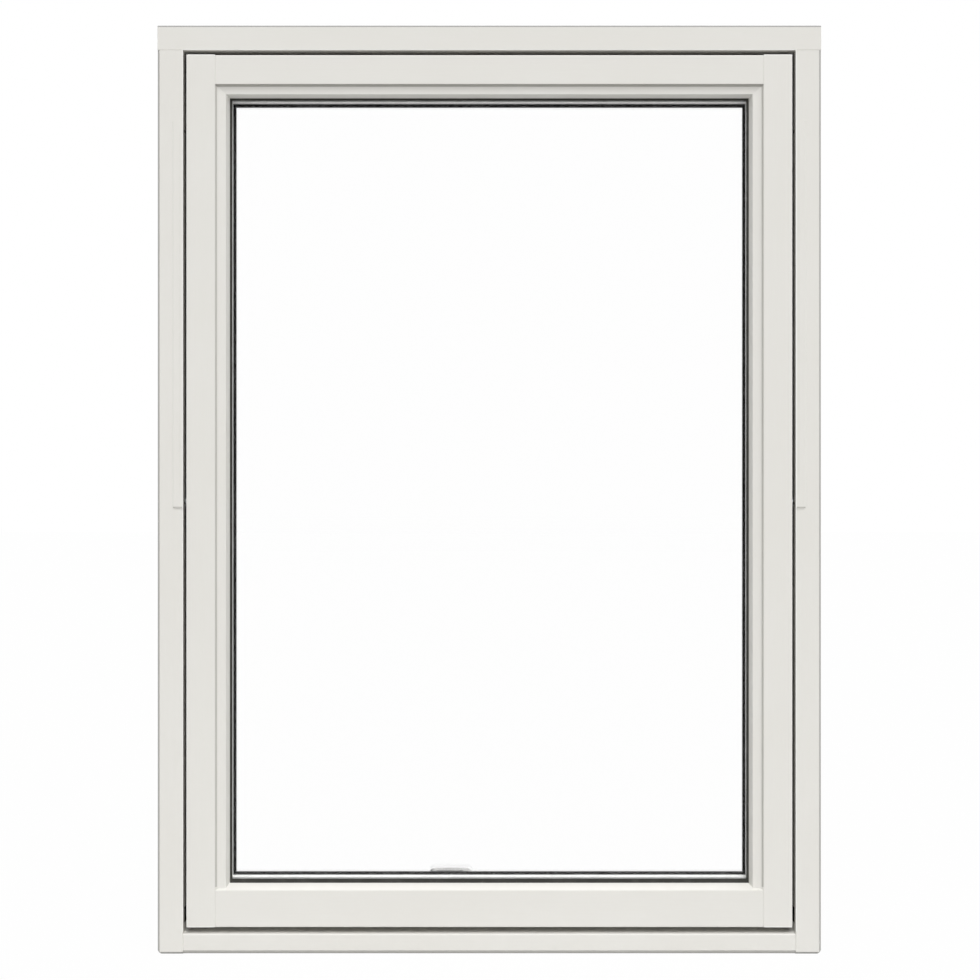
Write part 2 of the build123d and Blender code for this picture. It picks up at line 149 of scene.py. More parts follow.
class Finish(NodeSheet):
    def __init__(self, name, constants=None):
        self.material = bpy.data.materials.new(name)
        self.material.use_nodes = True
        super().__init__(self.material.node_tree)
        self.shader = self.tree.nodes["Principled BSDF"]
        self.surface = Signal(self, self.shader.outputs[0])
        for socket, value in (constants or {}).items():
            self.shader.inputs[socket].default_value = value

    def place(self, scale=(1, 1, 1)):
        spot = self.add("ShaderNodeTexCoord", output="Object")
        return self.add("ShaderNodeMapping", None, {"Vector": spot, "Scale": scale})

    def axes(self):
        return [self.axis(letter, self.place()) for letter in "XYZ"]

    def noise(self, scale, stretch=(1, 1, 1), detail=3, roughness=0.5):
        values = {"Vector": self.place(stretch), "Scale": scale, "Detail": detail, "Roughness": roughness}
        return self.add("ShaderNodeTexNoise", None, values)

    def mix(self, factor, first, second):
        return self.add("ShaderNodeMix", {"data_type": "RGBA"}, {0: factor, 6: first, 7: second}, 2)

    def drive(self, socket, signal):
        self.tree.links.new(signal.socket, self.shader.inputs[socket])

    def bump(self, height, distance, strength):
        values = {"Height": height, "Distance": distance, "Strength": strength}
        self.drive("Normal", self.add("ShaderNodeBump", None, values))

    def finishWith(self, surface):
        self.tree.links.new(surface.socket, self.tree.nodes["Material Output"].inputs["Surface"])


def band(signal, low, high, soft=0.0003):
    # 1 between low and high
    return signal.rise(low - soft, low + soft) * (1 - signal.rise(high - soft, high + soft))


# Paint

paint = {
    "colour": (0.762, 0.750, 0.714, 1),
    "mottle": (0.748, 0.734, 0.694, 1),
    "patch": 7,
    "strokes": 55,
    "grit": 900,
    "cloudShare": 0.6,
    "strokeShare": 0.4,
    "alongPost": (14, 14, 0.5),
    "alongRail": (0.5, 14, 14),
    "roughness": 0.32,
    "strokeRoughness": 0.16,
    "strokeHeight": 0.00006,
    "orangePeel": 0.00002,
    # painted shade on the frame's outer arrises and the chamfers at its foot: width and strength of their
    # greyer line
    "rim": (0.30, 0.30, 0.29, 1),
    "rimWidth": {"side": 0.0031, "top": 0.00248},
    "rimTone": {"side": 0.66, "top": 0.92},
    "headFace": 0.037,
    "postFoot": (0.0032, 0.55),
    "railFoot": (0.0056, 0.22),
    # painted shade along the beads' outer edges, and painted shadow at the sloped lower end of each cover
    # strip
    "beadLine": (0.36, 0.35, 0.32, 1),
    "beadTone": {"side": 0.55, "top": 0.80, "stripEnd": 0.62},
    "beadWidth": {"side": 0.0026, "top": 0.0036},
    "beadFoot": 0.1,
    "beadDepth": 0.014,
    "beadFade": 0.0006,
    "stripEnd": (0.0005, 0.0026),
    "stripSides": (0.001, 0.0015),
    "stripDepth": 0.001,
    # painted highlight on the arrises on both sides of the gap round the sash
    "wiped": (0.92, 0.915, 0.89, 1),
    "wipedReach": {"side": 0.0037, "top": 0.0045},
    "wipedDepth": 0.002,
    "gapMiddle": {"side": 0.0025, "top": 0.00325, "foot": 0.0025},
}


def rimShadeLine(x, y, z, foot):
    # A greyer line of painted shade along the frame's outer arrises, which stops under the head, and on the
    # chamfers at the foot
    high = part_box("frame_head")[1]
    width, tone = paint["rimWidth"], paint["rimTone"]
    side = band(abs(x), high.x - width["side"], 1) * band(z, -1, high.z - paint["headFace"]) * tone["side"]
    top = band(z, high.z - width["top"], 2) * tone["top"]
    footWidth, footTone = foot
    bottom = band(z, -1, footWidth) * band(y, -1, front + footWidth) * footTone
    return bottom.atLeast(side.atLeast(top) * band(y, -1, front + width["side"]))


def beadLine(x, y, z):
    # Painted shade in the step along the beads' outer edges, and painted shadow at the cover strips' lower
    # ends
    across, bead = abs(x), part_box("top_glazing_bead")[1]
    tone, width, fade = paint["beadTone"], paint["beadWidth"], paint["beadFade"]
    side = band(across, bead.x - width["side"], bead.x, fade) * tone["side"]
    top = band(z, bead.z - width["top"], bead.z, fade) * band(across, -1, bead.x) * tone["top"]
    line = side.atLeast(top) * band(z, paint["beadFoot"], bead.z) * band(y, -1, front + paint["beadDepth"])
    low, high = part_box("right_cover_strip")
    endLow, endHigh = paint["stripEnd"]
    inner, outer = paint["stripSides"]
    end = band(z, low.z + endLow, low.z + endHigh) * band(across, low.x + inner, high.x - outer)
    return line.atLeast(end * band(y, -1, front + paint["stripDepth"]) * tone["stripEnd"])


def arrisHighlightLine(x, y, z):
    # The arrises on both sides of the gap round the sash have a painted highlight
    across, (low, high) = abs(x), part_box("sash_left_stile")
    reach, topReach, gap = paint["wipedReach"]["side"], paint["wipedReach"]["top"], paint["gapMiddle"]
    side, top, foot = jambInner - gap["side"], high.z + gap["top"], low.z - gap["foot"]
    upright = band(abs(across - side), -1, reach) * band(z, foot - reach, top + reach)
    level = band(abs(z - top), -1, topReach).atLeast(band(abs(z - foot), -1, reach))
    line = upright.atLeast(level * band(across, -1, side + reach))
    return line * band(y, -1, front + paint["wipedDepth"])


def makePaint(name, stretch, foot):
    # Sprayed and brushed paint on planed timber: faint strokes run with the grain
    finish = Finish(name, {"Specular IOR Level": 0.35})
    cloud = finish.noise(paint["patch"], detail=4)
    strokes = finish.noise(paint["strokes"], stretch, detail=5, roughness=0.6)
    shade = (cloud * paint["cloudShare"] + strokes * paint["strokeShare"]).rise(*cloudRise)
    x, y, z = finish.axes()
    colour = finish.mix(shade, paint["mottle"], paint["colour"])
    # painted shade on the frame's outer arrises and foot chamfers
    colour = finish.mix(rimShadeLine(x, y, z, foot), colour, paint["rim"])
    # painted shade along the beads' outer edges and painted shadow at the cover strips' lower ends
    colour = finish.mix(beadLine(x, y, z), colour, paint["beadLine"])
    # painted highlight along the arrises round the sash's gap
    finish.drive("Base Color", finish.mix(arrisHighlightLine(x, y, z), colour, paint["wiped"]))
    finish.drive("Roughness", paint["roughness"] + strokes * paint["strokeRoughness"])
    height = strokes * paint["strokeHeight"] + finish.noise(paint["grit"]) * paint["orangePeel"]
    finish.bump(height, 1.0, 0.5)
    return finish.material


uprightPaint = makePaint("uprightPaint", paint["alongPost"], paint["postFoot"])
levelPaint = makePaint("levelPaint", paint["alongRail"], paint["railFoot"])


# Rubber, sealant and dark plastic

rubbers = {
    "blackRubber": {"colour": (0.010, 0.010, 0.010, 1), "dusty": (0.022, 0.021, 0.020, 1), "roughness": 0.6},
    "greyRubber": {"colour": (0.045, 0.045, 0.040, 1), "dusty": (0.062, 0.061, 0.056, 1), "roughness": 0.7},
    "sealRubber": {"colour": (0.03, 0.03, 0.031, 1), "dusty": (0.06, 0.06, 0.06, 1), "roughness": 0.7},
    "sealantBlack": {"colour": (0.012, 0.012, 0.013, 1), "dusty": (0.03, 0.03, 0.032, 1), "roughness": 0.35},
    "packerPlastic": {"colour": (0.05, 0.09, 0.05, 1), "dusty": (0.08, 0.13, 0.08, 1), "roughness": 0.5},
}
bloomLook = {"patch": 60, "rise": (0.45, 0.75), "roughness": 0.2, "pits": 1600}


def makeRubber(name):
    values = rubbers[name]
    finish = Finish(name, {"Specular IOR Level": 0.12})
    bloom = finish.noise(bloomLook["patch"], detail=4).rise(*bloomLook["rise"])
    finish.drive("Base Color", finish.mix(bloom, values["colour"], values["dusty"]))
    finish.drive("Roughness", values["roughness"] + bloom * bloomLook["roughness"])
    finish.bump(finish.noise(bloomLook["pits"]), 0.0001, 0.3)
    return finish.material


blackRubber, greyRubber, sealRubber, sealant, packer = [makeRubber(name) for name in rubbers]


# Bare metals: stretch follows the drawn or brushed lines, patch is the scale of the dull clouds

metals = {
    "trackAluminium": {"bright": (0.72, 0.72, 0.73, 1), "dull": (0.6, 0.6, 0.61, 1), "roughness": 0.32,
                       "stretch": (12, 12, 0.4), "patch": 25},
    "zincSteel": {"bright": (0.62, 0.63, 0.64, 1), "dull": (0.45, 0.46, 0.48, 1), "roughness": 0.38,
                  "stretch": (1, 8, 0.8), "patch": 160},
    "satinChrome": {"bright": (0.80, 0.80, 0.80, 1), "dull": (0.70, 0.70, 0.705, 1), "roughness": 0.17,
                    "stretch": (0.4, 9, 9), "patch": 30},
}
brushed = {"lines": 240, "lineRoughness": 0.12, "cloudRoughness": 0.06}


def metalGrain(finish, values):
    # Brushed lines, the colour under dull clouds, and the roughness of both
    lines = finish.noise(brushed["lines"], values["stretch"], detail=4, roughness=0.65)
    cloud = finish.noise(values["patch"], detail=5).rise(*cloudRise)
    colour = finish.mix(cloud, values["dull"], values["bright"])
    roughness = values["roughness"] + lines * brushed["lineRoughness"] - cloud * brushed["cloudRoughness"]
    return lines, colour, roughness


def makeMetal(name):
    finish = Finish(name, {"Metallic": 1.0})
    lines, colour, roughness = metalGrain(finish, metals[name])
    finish.drive("Base Color", colour)
    finish.drive("Roughness", roughness)
    finish.bump(lines, 0.0001, 0.2)
    return finish.material


trackAluminium, zincSteel, satinChrome = [makeMetal(name) for name in metals]

spacer = {
    "bright": (0.92, 0.92, 0.91, 1),
    "dull": (0.84, 0.84, 0.83, 1),
    "dark": (0.10, 0.10, 0.10, 1),
    "pitch": 0.0032,
    "hole": 0.0009,
    "holeRoughness": 0.2,
    "patch": 40,
    "roughness": 0.55,
}


def makeSpacerFinish(values):
    # Pale rolled aluminium, with a row of fine holes towards the cavity
    finish = Finish("spacerAluminium", {"Metallic": 0.25})
    cloud = finish.noise(values["patch"], detail=5).rise(*cloudRise)
    x, y, z = finish.axes()
    along = abs(((x + z) / values["pitch"]) % 1 - 0.5)
    across = abs(y - middle("glass_spacer", "y"))
    hole = band(along, -1, values["hole"] / values["pitch"] / 2, 0.03)
    hole = hole * band(across, -1, values["hole"] / 2, 0.0001)
    metal = finish.mix(cloud, values["dull"], values["bright"])
    finish.drive("Base Color", finish.mix(hole, metal, values["dark"]))
    roughness = values["roughness"] - cloud * brushed["cloudRoughness"]
    finish.drive("Roughness", roughness + hole * values["holeRoughness"])
    finish.bump(cloud * 0.2 - hole, 0.0002, 0.4)
    return finish.material


spacerAluminium = makeSpacerFinish(spacer)

lever = {
    "bright": (0.93, 0.93, 0.93, 1),
    "dull": (0.86, 0.86, 0.865, 1),
    "roughness": 0.17,
    "stretch": (0.4, 9, 9),
    "patch": 30,
    "metal": 0.6,
    # painted shade at the rounded tip, drawn as a dark dull cap, and a groove beside it
    "cap": 0.0054,
    "capColour": (0.012, 0.012, 0.012, 1),
    "capRoughness": 0.3,
    "groove": (0.0012, 0.0018),
    # painted darker reflection on the grip's face towards the glass
    "field": (-0.0815, -0.0405),
    "fieldDepth": 0.0400,
    "fieldTop": 0.1080,
    "fieldFade": {"along": 0.0008, "up": 0.0006},
    "fieldColour": (0.30, 0.30, 0.31, 1),
}


def makeLeverFinish(values):
    # Satin chrome, with painted shade at the rounded tip drawn as a dark dull cap with a fine darker groove
    # beside it, and a painted darker reflection on the grip's face
    finish = Finish("leverFinish", {"Metallic": 1.0})
    lines, chrome, roughness = metalGrain(finish, values)
    x, y, z = finish.axes()
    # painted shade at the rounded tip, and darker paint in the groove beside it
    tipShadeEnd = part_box("handle_lever")[0].x + values["cap"]
    cap = band(x, -1, tipShadeEnd, 0.0001)
    near, far = values["groove"]
    groove = band(x, tipShadeEnd + near, tipShadeEnd + far, 0.0001)
    # painted darker reflection on the grip's face, below its lighter top edge
    start, end = values["field"]
    fade = values["fieldFade"]
    field = band(x, start, end, fade["along"]) * band(y, -1, values["fieldDepth"])
    field = field * band(z, -1, values["fieldTop"], fade["up"])
    chrome = finish.mix(field, chrome, values["fieldColour"])
    finish.drive("Base Color", finish.mix(cap.atLeast(groove * 0.8), chrome, values["capColour"]))
    finish.drive("Metallic", (1 - cap) * values["metal"])
    finish.drive("Roughness", roughness + cap * values["capRoughness"])
    finish.bump(lines * 0.5 - groove, 0.0002, 0.3)
    return finish.material


leverFinish = makeLeverFinish(lever)


# Nylon and glass

nylonWhite = {
    "colour": (0.58, 0.57, 0.53, 1),
    "dull": (0.5, 0.49, 0.45, 1),
    "roughness": 0.42,
    "patch": 90,
    "pits": 700,
}


def makeNylon(values):
    finish = Finish("nylonWhite", {"Specular IOR Level": 0.45})
    cloud = finish.noise(values["patch"], detail=3).rise(0.4, 0.7)
    finish.drive("Base Color", finish.mix(cloud, values["dull"], values["colour"]))
    finish.drive("Roughness", values["roughness"] + cloud * 0.1)
    finish.bump(finish.noise(values["pits"]), 0.0001, 0.2)
    return finish.material


nylon = makeNylon(nylonWhite)

glass = {
    "colour": (1, 1, 1, 1),
    "film": (0.995, 1, 0.998, 1),
    "patch": 3,
    "index": 1.5,
    "through": 0.9,
    "grazing": (0.1, 0.8),
    "grazingLoss": 0.75,
}


def makeGlass(values):
    # Clear float glass: most light goes straight through, and less of it at a grazing angle
    finish = Finish("clearGlass", {"Roughness": 0.0, "IOR": values["index"], "Transmission Weight": 1.0})
    film = finish.noise(values["patch"], detail=5).rise(0.3, 0.8)
    finish.drive("Base Color", finish.mix(film, values["film"], values["colour"]))
    clear = finish.add("ShaderNodeBsdfTransparent")
    facing = finish.add("ShaderNodeLayerWeight", None, {"Blend": 0.35}, "Facing")
    loss = facing.rise(*values["grazing"]) * values["grazingLoss"]
    through = finish.anyOf("Is Shadow Ray").atLeast(values["through"] - loss)
    finish.finishWith(finish.add("ShaderNodeMixShader", None, {0: through, 1: finish.surface, 2: clear}))
    return finish.material


clearGlass = makeGlass(glass)


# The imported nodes' finishes

def bothSides(*names):
    return [f"{side}_{name}" for name in names for side in ("left", "right")]


finishes = {
    uprightPaint: ["frame_left_jamb", "frame_right_jamb", "sash_left_stile", "sash_right_stile",
                   *bothSides("cover_strip", "glazing_bead")],
    levelPaint: ["frame_head", "frame_sill", "sash_top_rail", "sash_bottom_rail", "top_glazing_bead",
                 "bottom_glazing_bead"],
    blackRubber: ["outer_glazing_gasket", "inner_glazing_tape"],
    sealRubber: ["frame_weather_seals"],
    sealant: ["glass_edge_seal"],
    packer: ["glass_setting_blocks"],
    spacerAluminium: ["glass_spacer"],
    trackAluminium: bothSides("shoe_track"),
    zincSteel: bothSides("arm", "jamb_pivot", "sash_pivot", "shoe_plate", "lock_keep", "lock_faceplate"),
    satinChrome: ["handle_rose"],
    leverFinish: ["handle_lever"],
    nylon: bothSides("track_shoe"),
    clearGlass: ["outer_pane", "inner_pane"],
}
for material, names in finishes.items():
    for name in names:
        nodes[name].data.materials.clear()
        nodes[name].data.materials.append(material)
print("finishes on", sum(len(names) for names in finishes.values()), "nodes")


# Tools for the new pieces

def clearSelection():
    if bpy.context.object and bpy.context.object.mode != "OBJECT":
        bpy.ops.object.mode_set(mode="OBJECT")
    bpy.ops.object.select_all(action="DESELECT")


def selectOnly(piece):
    clearSelection()
    piece.select_set(True)
    bpy.context.view_layer.objects.active = piece


def settle(piece):
    # Puts the object's place into its mesh
    selectOnly(piece)
    bpy.ops.object.transform_apply(location=True, rotation=True, scale=True)


def editMesh(mode="FACE"):
    bpy.ops.object.mode_set(mode="EDIT")
    bpy.ops.mesh.select_mode(type=mode)
    bpy.ops.mesh.select_all(action="DESELECT")


def pickFaces(test):
    shape = bmesh.from_edit_mesh(bpy.context.object.data)
    for face in shape.faces:
        face.select_set(test(face.calc_center_median(), face.normal))
    shape.select_flush_mode()
    bmesh.update_edit_mesh(bpy.context.object.data)


def pickEdges(test):
    bpy.ops.mesh.select_mode(type="EDGE")
    shape = bmesh.from_edit_mesh(bpy.context.object.data)
    for edge in shape.edges:
        edge.select_set(test(edge.verts[0].co, edge.verts[1].co))
    bmesh.update_edit_mesh(bpy.context.object.data)


def extrudeBy(*move):
    bpy.ops.mesh.extrude_region_move(TRANSFORM_OT_translate={"value": move})


def addBlock(corner, opposite):
    clearSelection()
    bpy.ops.mesh.primitive_cube_add(size=1, location=[(a + b) / 2 for a, b in zip(corner, opposite)])
    block = bpy.context.object
    block.scale = [abs(b - a) for a, b in zip(corner, opposite)]
    settle(block)
    return block


def addPost(vertices, radius, low, high):
    # A round post between two heights, in edit mode with its top picked
    clearSelection()
    centre = (0, 0, (low + high) / 2)
    bpy.ops.mesh.primitive_cylinder_add(vertices=vertices, radius=radius, depth=high - low, location=centre)
    post = bpy.context.object
    settle(post)
    editMesh()
    pickFaces(lambda spot, normal: normal.z > 0.9)
    return post


def raiseDome(values, height):
    # Insets the picked face step by step, and lifts each step less
    for step in values["domeSteps"]:
        bpy.ops.mesh.inset(thickness=values["radius"] * values["domeInset"])
        bpy.ops.transform.translate(value=(0, 0, height * step))
    bpy.ops.object.mode_set(mode="OBJECT")


def cutAway(piece, tool):
    clearSelection()
    bpy.context.view_layer.objects.active = piece
    cut = piece.modifiers.new("cut", "BOOLEAN")
    cut.operation = "DIFFERENCE"
    cut.object = tool
    bpy.ops.object.modifier_apply(modifier="cut")
    bpy.data.objects.remove(tool)


def finishPiece(piece, name, body, material, replaces=()):
    selectOnly(piece)
    bpy.ops.object.mode_set(mode="EDIT")
    bpy.ops.mesh.select_all(action="SELECT")
    bpy.ops.mesh.remove_doubles(threshold=0.000001)
    bpy.ops.mesh.normals_make_consistent(inside=False)
    bpy.ops.object.mode_set(mode="OBJECT")
    bpy.ops.object.shade_smooth_by_angle(angle=smoothBelow)
    piece.name = name
    piece.data.name = name
    piece.data.materials.clear()
    piece.data.materials.append(material)
    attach(piece, body)
    if replaces:
        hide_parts(*replaces)


def copyTo(master, spot, facing, size=1):
    # A copy with its own mesh, its +Z turned to the facing direction
    turn = Vector((0, 0, 1)).rotation_difference(Vector(facing)).to_matrix().to_4x4()
    twin = master.copy()
    twin.data = master.data.copy()
    twin.data.transform(Matrix.Translation(spot) @ turn @ Matrix.Scale(size, 4))
    bpy.context.scene.collection.objects.link(twin)
    return twin


def makeRing(low, high, opening, far):
    # A rectangular ring round the glass: drawn as a plane, inset, its opening set, and given its depth
    clearSelection()
    centre, wide, tall = (0, low.y, (low.z + high.z) / 2), high.x - low.x, high.z - low.z
    bpy.ops.mesh.primitive_plane_add(size=1, location=centre, rotation=(quarterTurn, 0, 0))
    ring = bpy.context.object
    ring.scale = (wide, tall, 1)
    settle(ring)
    editMesh()
    bpy.ops.mesh.select_all(action="SELECT")
    inset = 0.002
    bpy.ops.mesh.inset(thickness=inset, use_even_offset=True)
    foot, top = opening["foot"], opening["top"]
    size = (2 * opening["side"] / (wide - 2 * inset), 1, (top - foot) / (tall - 2 * inset))
    bpy.ops.transform.resize(value=size, center_override=centre)
    bpy.ops.transform.translate(value=(0, 0, (foot + top) / 2 - centre[2]))
    bpy.ops.mesh.delete(type="FACE")
    bpy.ops.mesh.select_all(action="SELECT")
    extrudeBy(0, far - low.y, 0)
    bpy.ops.mesh.select_all(action="SELECT")
    bpy.ops.mesh.normals_make_consistent(inside=False)
    return ring


# Glazing gaskets: each a ring whose lip is rounded where it meets the glass

gaskets = {
    "outerGasket": {"node": "outer_glazing_gasket", "rubber": greyRubber, "round": 0.0008, "bothFaces": False,
                    "opening": {"side": 0.3864, "foot": 0.1092, "top": 1.2791}},
    "innerGasket": {"node": "inner_glazing_tape", "rubber": blackRubber, "round": 0.0009, "bothFaces": True,
                    "opening": {"side": 0.3835, "foot": 0.1152, "top": 1.2733}},
}


def onInnerEdge(spot, opening, reach=0.001):
    return abs(spot.x) < opening["side"] + reach and opening["foot"] - reach < spot.z < opening["top"] + reach


def makeGasket(name, values):
    low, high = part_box(values["node"])
    opening = values["opening"]
    ring = makeRing(low, high, opening, high.y)
    reach = high.y if values["bothFaces"] else low.y
    pickEdges(lambda a, b: abs(a.y - b.y) < hair and a.y < reach + hair and
              onInnerEdge(a, opening) and onInnerEdge(b, opening))
    bpy.ops.mesh.bevel(offset=values["round"], segments=3, profile=0.6)
    finishPiece(ring, name, "sash", values["rubber"], [values["node"]])


for name, values in gaskets.items():
    makeGasket(name, values)
print("gaskets made")

# Weather seal round the stop: a bulb with a narrower foot behind it

weatherSeal = {"width": 0.004, "bulb": 0.0038, "round": 0.0017, "foot": 0.0011}


def makeWeatherSeal(values):
    low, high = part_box("frame_weather_seals")
    width, bulbBack = values["width"], low.y + values["bulb"]
    opening = {"side": high.x - width, "foot": low.z + width, "top": high.z - width}
    levels = (low.z, low.z + width, high.z - width, high.z)

    def onEdge(spot):
        offs = [abs(abs(spot.x) - x) for x in (high.x, high.x - width)] + [abs(spot.z - z) for z in levels]
        return spot.y < bulbBack + hair and min(offs) < hair

    seal = makeRing(low, high, opening, bulbBack)
    pickFaces(lambda spot, normal: normal.y > 0.9)
    bpy.ops.mesh.inset(thickness=values["foot"], use_even_offset=True)
    extrudeBy(0, high.y - bulbBack, 0)
    pickEdges(lambda a, b: abs(a.y - b.y) < hair and onEdge(a) and onEdge(b))
    bpy.ops.mesh.bevel(offset=values["round"], segments=4, profile=0.5)
    finishPiece(seal, "weatherSeal", "frame", sealRubber, ["frame_weather_seals"])


makeWeatherSeal(weatherSeal)
print("weather seal made")

# Screws: one is modelled, with a cross slot in a slightly domed head, and then copied

screw = {
    "radius": 0.0036,
    "stand": 0.0004,
    "sunk": 0.0006,
    "domeSteps": (0.35, 0.1),
    "domeInset": 0.3,
    "slotLength": 0.0044,
    "slotWidth": 0.0009,
    "slotDepth": 0.0007,
    # sizes beside the full one
    "small": 0.45,
    "faceplateSize": 0.62,
    "leverSize": 0.9,
    # where they go
    "plateThickness": 0.003,
    "faceplateThickness": 0.002,
    "pivotSpread": 0.033,
    "shoePlateSpots": (0.010, 0.026),
    "faceplateSpread": 0.0101,
    "lockSpread": 0.0088,
    "roseSpread": 0.024,
}


def makeScrew(values):
    head = addPost(24, values["radius"], -values["sunk"], values["stand"])
    raiseDome(values, values["stand"])
    half = (values["slotLength"] / 2, values["slotWidth"] / 2)
    deep, above = values["stand"] - values["slotDepth"], values["stand"] * 3
    for across, along in (half, half[::-1]):
        cutAway(head, addBlock((-across, -along, deep), (across, along, above)))
    return head


plateSide = bodySide + screw["plateThickness"]
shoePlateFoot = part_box("right_shoe_plate")[0].z
screwRows = [
    ("jambPivotScrew", jambInner, spread("right_jamb_pivot", screw["pivotSpread"]), "frame", 1),
    ("sashPivotScrew", plateSide, spread("right_sash_pivot", screw["pivotSpread"]), "sash", 1),
    ("shoePlateScrew", plateSide, [shoePlateFoot + spot for spot in screw["shoePlateSpots"]], "sash", 1),
    ("faceplateScrew", bodySide + screw["faceplateThickness"],
     spread("right_lock_faceplate", screw["faceplateSpread"]), "sash", screw["faceplateSize"]),
]
master = makeScrew(screw)
for name, x, heights, body, size in screwRows:
    for side, sideName in sides:
        facing = (-side, 0, 0) if body == "frame" else (side, 0, 0)
        for height in heights:
            twin = copyTo(master, (side * x, linkY, height), facing, size)
            finishPiece(twin, name + sideName, body, zincSteel)
for side in (-1, 1):
    twin = copyTo(master, (side * screw["roseSpread"], roseTop, middle("handle_rose", "z")), (0, 1, 0))
    finishPiece(twin, "roseScrew", "sash", satinChrome)
spot = (0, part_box("handle_lever")[1].y, middle("handle_rose", "z"))
twin = copyTo(master, spot, (0, 1, 0), screw["leverSize"])
finishPiece(twin, "leverScrew", "handle", satinChrome)
print("screws made")

# Domed rivet ends on the arms' four pins

rivet = {"radius": 0.0076, "sunk": 0.0003, "dome": 0.0005, "domeSteps": (0.55, 0.3, 0.12), "domeInset": 0.24}
cap = addPost(32, rivet["radius"], -rivet["sunk"], rivet["sunk"])
raiseDome(rivet, rivet["dome"])
jambPin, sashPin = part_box("right_jamb_pivot")[0].x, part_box("right_sash_pivot")[1].x
for side in (-1, 1):
    spot = (side * jambPin, linkY, middle("right_jamb_pivot", "z"))
    finishPiece(copyTo(cap, spot, (-side, 0, 0)), "jambRivet", "frame", zincSteel)
    spot = (side * sashPin, linkY, middle("right_sash_pivot", "z"))
    finishPiece(copyTo(cap, spot, (side, 0, 0)), "sashRivet", "sash", zincSteel)
bpy.data.objects.remove(cap)
print("rivets made")

# Black pieces of painted shade in the side gaps, where they look darkest: a slotted cover over the lock's
# keep, and a pad at the pivot and one above it

gapShadePieces = {
    "near": 0.0150,
    "stand": 0.00025,
    "sunk": 0.0006,
    "arris": 0.0002,
    "dimple": 0.0001,
    "dimpleInset": 0.2,
    "lockFar": 0.0455,
    "lockReach": 0.0112,
    "lockDrop": 0.0028,
    "slot": (0.0094, 0.0144),
    "slotReach": 0.002,
    "bufferFar": 0.0235,
    "bufferReach": 0.0022,
    "upper": 1.2328,
}


# A black block on the jamb's inner face: painted shade in the gap
def makeShadePiece(side, height, far, reach, values):
    cover = addBlock((side * (jambInner - values["stand"]), front + values["near"], height - reach),
                     (side * (jambInner + values["sunk"]), front + far, height + reach))
    editMesh()
    pickFaces(lambda spot, normal: normal.x * side < -0.9)
    bpy.ops.mesh.bevel(offset=values["arris"], segments=2)
    pickFaces(lambda spot, normal: normal.x * side < -0.99)
    bpy.ops.mesh.inset(thickness=reach * values["dimpleInset"], use_even_offset=True)
    bpy.ops.transform.translate(value=(side * values["dimple"], 0, 0))
    bpy.ops.object.mode_set(mode="OBJECT")
    return cover


keepZ = middle("right_lock_keep", "z")
wide, tall = gapShadePieces["slot"]
slotReach = gapShadePieces["slotReach"]
for side, sideName in sides:
    cover = makeShadePiece(side, keepZ - gapShadePieces["lockDrop"], gapShadePieces["lockFar"], gapShadePieces["lockReach"], gapShadePieces)
    slotLow = (side * jambInner - slotReach, linkY - wide / 2, keepZ - tall / 2)
    slotHigh = (side * jambInner + slotReach, linkY + wide / 2, keepZ + tall / 2)
    cutAway(cover, addBlock(slotLow, slotHigh))
    finishPiece(cover, "keepCover" + sideName, "frame", blackRubber)
    for height in (middle("right_jamb_pivot", "z"), gapShadePieces["upper"]):
        shadePad = makeShadePiece(side, height, gapShadePieces["bufferFar"], gapShadePieces["bufferReach"], gapShadePieces)
        finishPiece(shadePad, "gapBuffer" + sideName, "frame", blackRubber)
for side in (-1, 1):
    for height in spread("right_lock_keep", screw["lockSpread"]):
        spot = (side * (jambInner - gapShadePieces["stand"]), linkY, height)
        twin = copyTo(master, spot, (-side, 0, 0), screw["small"])
        finishPiece(twin, "keepScrew", "frame", zincSteel)
print("gap covers made")

# Stop at the foot of each track, held by one screw

trackStop = {"foot": 0.0013, "height": 0.0058, "depth": 0.0118, "arris": 0.0008, "screwHeight": 0.0035}
shoeNear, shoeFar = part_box("right_track_shoe")
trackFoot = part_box("right_shoe_track")[0].z
for side, sideName in sides:
    half = trackStop["depth"] / 2
    block = addBlock((side * shoeNear.x, linkY - half, trackFoot + trackStop["foot"]),
                     (side * shoeFar.x, linkY + half, trackFoot + trackStop["height"]))
    editMesh("EDGE")
    bpy.ops.mesh.select_all(action="SELECT")
    bpy.ops.mesh.bevel(offset=trackStop["arris"], segments=2)
    finishPiece(block, "trackStop" + sideName, "frame", nylon)
    spot = (side * shoeNear.x, linkY, trackFoot + trackStop["screwHeight"])
    twin = copyTo(master, spot, (-side, 0, 0), screw["small"])
    finishPiece(twin, "trackScrew", "frame", zincSteel)
bpy.data.objects.remove(master)
print("track stops made")

# Sleeves for the frame's fixing screws

sleeve = {"radius": 0.0039, "wall": 0.0009, "length": 0.024, "inset": 0.0006, "socket": 0.018, "arris": 0.0002}
tube = addPost(24, sleeve["radius"], -sleeve["length"] - sleeve["inset"], -sleeve["inset"])
bpy.ops.mesh.inset(thickness=sleeve["wall"])
extrudeBy(0, 0, -sleeve["socket"])
pickEdges(lambda a, b: min(a.z, b.z) > -sleeve["inset"] - hair)
bpy.ops.mesh.bevel(offset=sleeve["arris"], segments=2)
bpy.ops.object.mode_set(mode="OBJECT")
for side in (-1, 1):
    for fixing in frame["record"]["mounts"]:
        x, y, z = fixing["pos_m"]
        if fixing["kind"] == "bolt_pattern" and x * side > 0:
            reach = fixing["dims"]["spacing_y_mm"] / 1000 / 2
            for height in (z - reach, z + reach):
                twin = copyTo(tube, (side * jambInner, y, height), (-side, 0, 0))
                finishPiece(twin, "fixingSleeve", "frame", zincSteel)
bpy.data.objects.remove(tube)
print("sleeves made")

# Collar on the rose, round the lever's neck

